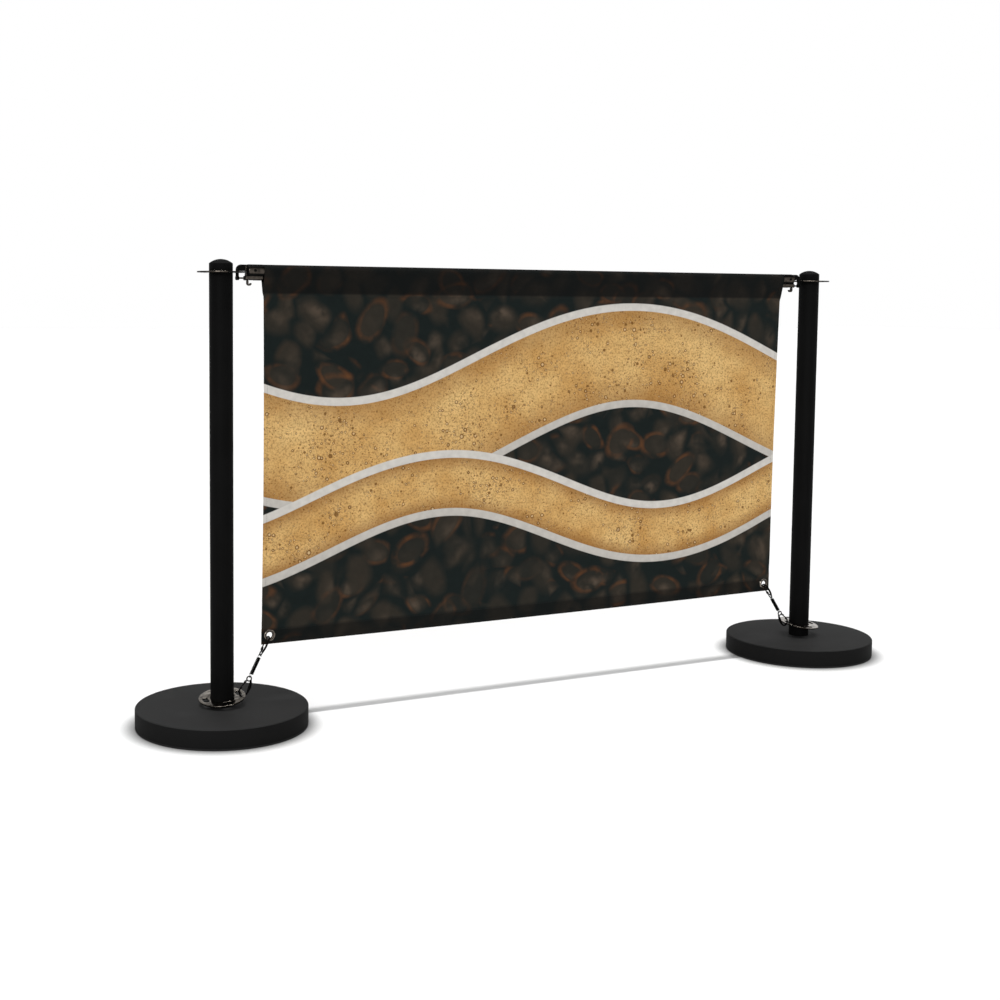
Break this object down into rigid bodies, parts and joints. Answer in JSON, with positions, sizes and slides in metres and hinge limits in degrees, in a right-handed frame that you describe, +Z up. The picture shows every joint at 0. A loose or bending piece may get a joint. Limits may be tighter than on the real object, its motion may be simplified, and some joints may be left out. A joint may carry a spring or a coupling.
{
  "type": "cafe barrier",
  "caption": "Free-standing cafe barrier: weighted posts with slotted ring plates, a rail with spring-latched end hooks, and a printed banner pulled tight by sprung straps",
  "frame": {"origin": "on the floor, midway between the two posts", "axes": "+X from the left post to the right post, +Y away from the viewer, +Z up"},
  "size_m": [1.962, 0.37, 0.995],
  "materials": {
    "powder_coat": "satin black powder coat",
    "base_coat": "fine-textured black coat",
    "rubber": "matt black",
    "concrete": "cast concrete",
    "zinc": "zinc plated",
    "chrome": "bright chrome plate",
    "gunmetal": "dark nickel plate",
    "spring_steel": "oiled spring steel",
    "banner_fabric": "printed polyester canvas, hemmed"
  },
  "bodies": {
    "left_post": {"left_base_foot": "rubber", "left_base_weight": "concrete", "left_base_cover": "base_coat", "left_base_washer": "zinc", "left_base_bolt": "zinc", "left_post_tube": "powder_coat", "left_foot_insert": "zinc", "left_top_insert": "zinc", "left_top_ring": "chrome", "left_cap": "powder_coat", "left_cap_stud": "zinc"},
    "rail": {"rail": "powder_coat", "banner": "banner_fabric", "left_hook": "gunmetal", "left_hook_screw": "zinc", "left_latch_spring": "spring_steel", "left_spring_plug": "zinc", "left_eyelet": "chrome", "left_eyelet_washer": "chrome", "left_upper_snap": "gunmetal", "left_upper_snap_rivet": "zinc", "left_strap_spring": "spring_steel", "left_lower_snap": "gunmetal", "left_lower_snap_rivet": "zinc", "right_hook": "gunmetal", "right_hook_screw": "zinc", "right_latch_spring": "spring_steel", "right_spring_plug": "zinc", "right_eyelet": "chrome", "right_eyelet_washer": "chrome", "right_upper_snap": "gunmetal", "right_upper_snap_rivet": "zinc", "right_strap_spring": "spring_steel", "right_lower_snap": "gunmetal", "right_lower_snap_rivet": "zinc"},
    "right_post": {"right_base_foot": "rubber", "right_base_weight": "concrete", "right_base_cover": "base_coat", "right_base_washer": "zinc", "right_base_bolt": "zinc", "right_post_tube": "powder_coat", "right_foot_insert": "zinc", "right_top_insert": "zinc", "right_top_ring": "chrome", "right_cap": "powder_coat", "right_cap_stud": "zinc"},
    "left_trigger": {"left_latch_bolt": "gunmetal", "left_thumb_lever": "gunmetal"},
    "right_trigger": {"right_latch_bolt": "gunmetal", "right_thumb_lever": "gunmetal"},
    "left_upper_gate": {"left_upper_snap_gate": "gunmetal"},
    "left_lower_gate": {"left_lower_snap_gate": "gunmetal"},
    "right_upper_gate": {"right_upper_snap_gate": "gunmetal"},
    "right_lower_gate": {"right_lower_snap_gate": "gunmetal"},
    "left_ring": {"left_lower_ring": "chrome"},
    "right_ring": {"right_lower_ring": "chrome"}
  },
  "joints": [
    {"name": "left_swing", "type": "hinge", "parent": "left_post", "child": "rail", "pos_m": [-0.76, 0, 0.968], "axis": [0, 0, 1], "range_deg": [-25, 25]},
    {"name": "right_swing", "type": "hinge", "parent": "rail", "child": "right_post", "pos_m": [0.76, 0, 0.968], "axis": [0, 0, 1], "range_deg": [-25, 25]},
    {"name": "left_latch_slide", "type": "slide", "parent": "rail", "child": "left_trigger", "axis": [1, 0, 0], "range_m": [0, 0.011], "stiffness_N_per_m": 250, "springref_m": -0.012, "deforming": ["left_latch_spring"]},
    {"name": "right_latch_slide", "type": "slide", "parent": "rail", "child": "right_trigger", "axis": [-1, 0, 0], "range_m": [0, 0.011], "stiffness_N_per_m": 250, "springref_m": -0.012, "deforming": ["right_latch_spring"]},
    {"name": "left_upper_gate_hinge", "type": "hinge", "parent": "rail", "child": "left_upper_gate", "pos_m": [-0.70388, 0.0046, 0.15402], "axis": [0.8899, 0, -0.4562], "range_deg": [0, 13], "stiffness_Nm_per_rad": 0.01, "springref_deg": -20.05},
    {"name": "left_lower_gate_hinge", "type": "hinge", "parent": "rail", "child": "left_lower_gate", "pos_m": [-0.74228, 0, 0.08921], "axis": [0, -1, 0], "range_deg": [0, 13], "stiffness_Nm_per_rad": 0.01, "springref_deg": -20.05},
    {"name": "right_upper_gate_hinge", "type": "hinge", "parent": "rail", "child": "right_upper_gate", "pos_m": [0.69371, 0.0046, 0.1603], "axis": [0.8244, 0, 0.5661], "range_deg": [0, 13], "stiffness_Nm_per_rad": 0.01, "springref_deg": -20.05},
    {"name": "right_lower_gate_hinge", "type": "hinge", "parent": "rail", "child": "right_lower_gate", "pos_m": [0.73926, 0, 0.10209], "axis": [0, 1, 0], "range_deg": [0, 13], "stiffness_Nm_per_rad": 0.01, "springref_deg": -20.05},
    {"name": "left_ring_turn", "type": "hinge", "parent": "left_post", "child": "left_ring", "pos_m": [-0.796, 0, 0.06], "axis": [0, 0, 1], "range_deg": [-8, 8]},
    {"name": "right_ring_turn", "type": "hinge", "parent": "right_post", "child": "right_ring", "pos_m": [0.796, 0, 0.074], "axis": [0, 0, 1], "range_deg": [-8, 8]}
  ],
  "couplings": [
    {"joint": "left_ring_turn", "follows": "left_swing", "ratio": 0.226},
    {"joint": "right_ring_turn", "follows": "right_swing", "ratio": -0.226}
  ]
}
